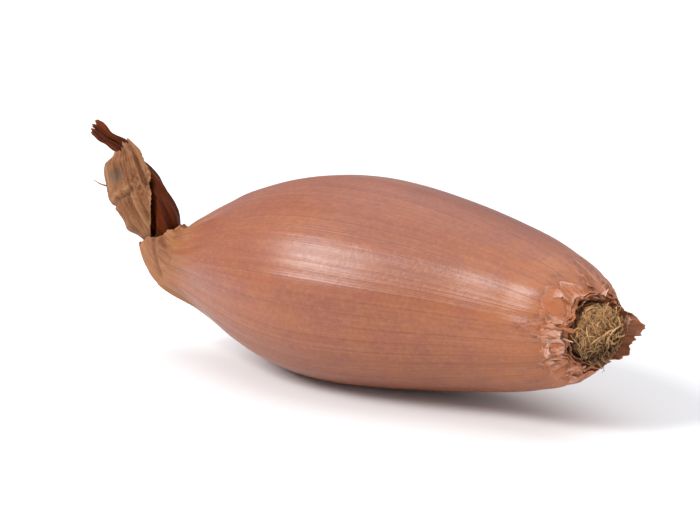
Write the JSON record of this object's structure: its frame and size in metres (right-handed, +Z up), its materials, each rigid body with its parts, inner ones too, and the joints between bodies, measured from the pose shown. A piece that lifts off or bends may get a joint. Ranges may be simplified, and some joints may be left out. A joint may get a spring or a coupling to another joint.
{
  "type": "shallot",
  "caption": "Long dry shallot lying on its side, with thin papery skin, a corky plate of short dried roots and an upturned dry neck.",
  "frame": {"origin": "middle of the small flat spot under the belly that the shallot rests on", "axes": "+Z up from the surface it rests on, +X along the bulb toward its root end, +Y to its back; the dry neck turns up at the -X end"},
  "size_m": [0.0896, 0.0307, 0.0327],
  "materials": {
    "skin": "dry outer skin with a satin sheen, mauve brown with fine darker veins along its length",
    "roots": "matte dried roots, grey brown with cream tips",
    "papery_leaf": "matte dried leaf sheath, tan brown with long ribs",
    "dark_leaf": "matte dried inner leaf, dark red brown"
  },
  "bodies": {
    "root": {"bulb": "skin", "root_plate": "roots", "leaf_sheath": "papery_leaf", "inner_leaf": "dark_leaf"}
  },
  "joints": []
}
